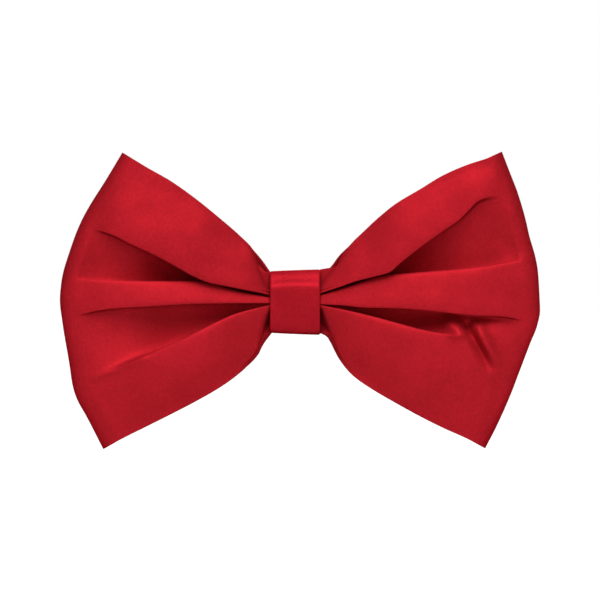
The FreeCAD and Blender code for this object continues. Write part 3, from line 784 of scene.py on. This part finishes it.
TACK_FROM_END = 3.0         # mm from the band's cut end
eye_tack_angle = eye_fold_end + degrees_of(FOLD_OVER - TACK_FROM_END)
tail_tack_angle = tail_end - degrees_of(TACK_FROM_END)
bar_tack("eye_end_tack", eye_tack_angle, NECK_RADIUS, laid_layer, "bow_and_band", "eye_end_stitches")
bar_tack("tail_end_tack", tail_tack_angle, laid_layer, slider_layer, "slider", "tail_end_stitches")

# ---- Hook, eye and slide adjuster ---------------------------------------------------------------
# Small nickel-plated steel fittings, stamped and bent, with their edges tumbled smooth. The hook
# and the eye fasten the band behind the neck, and the adjuster sets its length.
NICKEL = (0.42, 0.41, 0.385)
CLOUDED = 0.82              # how bright its cloudy places are, as a share
NICKEL_ROUGHNESS = (0.16, 0.32)
TUMBLED_EDGE = 0.14 * MM
SHARP_EDGE = 40             # degrees; the tumbling has rounded each corner that turns more than this
SAME_POINT = 0.002 * MM     # corners of the metal's faces this close are one


def plated_metal():
    """Nickel plate: bright, with fine scuffs and slightly cloudy places."""
    material = bpy.data.materials.new("nickel plate")
    material.use_nodes = True
    tree = material.node_tree
    shader = tree.nodes["Principled BSDF"]
    shader.inputs["Metallic"].default_value = 1.0
    place = tree.nodes.new("ShaderNodeTexCoord")
    cloud = tree.nodes.new("ShaderNodeTexNoise")
    cloud.inputs["Scale"].default_value = 420.0
    cloud.inputs["Detail"].default_value = 5.0
    tone = tree.nodes.new("ShaderNodeMix")
    tone.data_type = "RGBA"
    tone.inputs["A"].default_value = (*[CLOUDED * c for c in NICKEL], 1.0)
    tone.inputs["B"].default_value = (*NICKEL, 1.0)
    rough = tree.nodes.new("ShaderNodeMapRange")
    rough.inputs["To Min"].default_value, rough.inputs["To Max"].default_value = NICKEL_ROUGHNESS
    scuff = tree.nodes.new("ShaderNodeTexNoise")
    scuff.inputs["Scale"].default_value = 2600.0
    scuff.inputs["Detail"].default_value = 3.0
    dent = tree.nodes.new("ShaderNodeBump")
    dent.inputs["Strength"].default_value = 0.12
    dent.inputs["Distance"].default_value = 0.00003
    tree.links.new(place.outputs["Object"], cloud.inputs["Vector"])
    tree.links.new(place.outputs["Object"], scuff.inputs["Vector"])
    tree.links.new(cloud.outputs["Fac"], tone.inputs["Factor"])
    tree.links.new(tone.outputs["Result"], shader.inputs["Base Color"])
    tree.links.new(cloud.outputs["Fac"], rough.inputs["Value"])
    tree.links.new(rough.outputs["Result"], shader.inputs["Roughness"])
    tree.links.new(scuff.outputs["Fac"], dent.inputs["Height"])
    tree.links.new(dent.outputs["Normal"], shader.inputs["Normal"])
    return material


nickel = plated_metal()
for name in ("clasp_hook", "clasp_eye", "slide_adjuster"):
    fitting = frame["nodes"][name]
    fitting.data.materials.clear()
    fitting.data.materials.append(nickel)
    joined = fitting.modifiers.new("one skin", "WELD")
    joined.merge_threshold = SAME_POINT
    tumbled = fitting.modifiers.new("tumbled edges", "BEVEL")
    tumbled.width = TUMBLED_EDGE
    tumbled.segments = 3
    tumbled.limit_method = "ANGLE"
    tumbled.angle_limit = math.radians(SHARP_EDGE)

# ---- The studio and the camera ------------------------------------------------------------------
# A wide white floor well below the tie, a broad soft light from above and in front, a weaker one
# for the back, and a long lens straight in front, level with the knot.
CAMERA_DISTANCE = 1.2       # from the bow's front; lengths in this section are in metres
BOW_FRONT = 0.012           # in front of the collar
VIEW_WIDTH = 0.1503         # the width that the camera takes in at the bow's front
CAMERA_AIM = Vector((0.00125, 0.0, 0.0004))
FLOOR_LEVEL = -0.1
FLOOR_HALF = 30.0
ROOM_LIGHT = 0.11           # what the white room gives back on all sides
FRONT_LIGHT = 0.38          # and how much more of it comes from behind the camera
PAPER_GLOW = 0.35           # light that comes up through the paper
KEY_ELEVATION = 50.0        # degrees above the horizon
KEY_FROM_LEFT = -2.0        # degrees, so it comes from a little to the right
KEY_STRENGTH = 2.6
KEY_SPREAD = 50.0           # degrees, so that shadows are soft
BACK_LIGHT = 9.0            # watts
BACK_LIGHT_PLACE = Vector((0.25, 1.1, 1.0))
BACK_LIGHT_SIZE = (1.0, 0.6)
WHITE = (1.0, 1.0, 1.0, 1.0)

scene = bpy.context.scene
scene.view_settings.view_transform = "Standard"
room = bpy.data.worlds.new("white room")
room.use_nodes = True
room_tree = room.node_tree
room_light = room_tree.nodes["Background"]
room_light.inputs["Color"].default_value = WHITE
ways = room_tree.nodes.new("ShaderNodeTexCoord")
split = room_tree.nodes.new("ShaderNodeSeparateXYZ")
from_front = room_tree.nodes.new("ShaderNodeMapRange")
from_front.inputs["From Min"].default_value = 0.0
from_front.inputs["From Max"].default_value = -1.0
from_front.inputs["To Min"].default_value = ROOM_LIGHT
from_front.inputs["To Max"].default_value = ROOM_LIGHT + FRONT_LIGHT
room_tree.links.new(ways.outputs["Generated"], split.inputs["Vector"])
room_tree.links.new(split.outputs["Y"], from_front.inputs["Value"])
room_tree.links.new(from_front.outputs["Result"], room_light.inputs["Strength"])
# The wall behind the tie looks plain white, whatever light the room gives.
white_wall = room_tree.nodes.new("ShaderNodeBackground")
white_wall.inputs["Color"].default_value = WHITE
seen = room_tree.nodes.new("ShaderNodeLightPath")
either = room_tree.nodes.new("ShaderNodeMixShader")
room_tree.links.new(seen.outputs["Is Camera Ray"], either.inputs["Fac"])
room_tree.links.new(room_light.outputs["Background"], either.inputs[1])
room_tree.links.new(white_wall.outputs["Background"], either.inputs[2])
room_tree.links.new(either.outputs["Shader"], room_tree.nodes["World Output"].inputs["Surface"])
scene.world = room

floor_mesh = bpy.data.meshes.new("floor")
corners = [(x * FLOOR_HALF, y * FLOOR_HALF, FLOOR_LEVEL) for x, y in ((-1, -1), (1, -1), (1, 1), (-1, 1))]
floor_mesh.from_pydata(corners, [], [(0, 1, 2, 3)])
floor = bpy.data.objects.new("floor", floor_mesh)
scene.collection.objects.link(floor)
paper = bpy.data.materials.new("white paper")
paper.use_nodes = True
paper_shader = paper.node_tree.nodes["Principled BSDF"]
paper_shader.inputs["Base Color"].default_value = (0.96, 0.96, 0.96, 1.0)
paper_shader.inputs["Roughness"].default_value = 1.0
paper_shader.inputs["Emission Color"].default_value = WHITE
paper_shader.inputs["Emission Strength"].default_value = PAPER_GLOW
floor.data.materials.append(paper)
floor.visible_diffuse = False   # it takes no light away from the cloth and adds none

key = bpy.data.lights.new("key light", "SUN")
key.energy = KEY_STRENGTH
key.angle = math.radians(KEY_SPREAD)
key_lamp = bpy.data.objects.new("key light", key)
elevation, aside = math.radians(KEY_ELEVATION), math.radians(KEY_FROM_LEFT)
towards_key = Vector((-math.sin(aside) * math.cos(elevation), -math.cos(aside) * math.cos(elevation),
                      math.sin(elevation)))
key_lamp.rotation_euler = (-towards_key).to_track_quat("-Z", "Y").to_euler()
scene.collection.objects.link(key_lamp)

back = bpy.data.lights.new("back light", "AREA")
back.shape = "RECTANGLE"
back.size, back.size_y = BACK_LIGHT_SIZE
back.energy = BACK_LIGHT
back_lamp = bpy.data.objects.new("back light", back)
back_lamp.location = BACK_LIGHT_PLACE
back_lamp.rotation_euler = (-BACK_LIGHT_PLACE).to_track_quat("-Z", "Y").to_euler()
scene.collection.objects.link(back_lamp)

camera_data = bpy.data.cameras.new("camera")
camera_data.lens = camera_data.sensor_width * CAMERA_DISTANCE / VIEW_WIDTH
camera = bpy.data.objects.new("camera", camera_data)
camera.location = CAMERA_AIM + Vector((0, -CAMERA_DISTANCE - BOW_FRONT, 0))
camera.rotation_euler = (math.pi / 2, 0, 0)
scene.collection.objects.link(camera)
scene.camera = camera
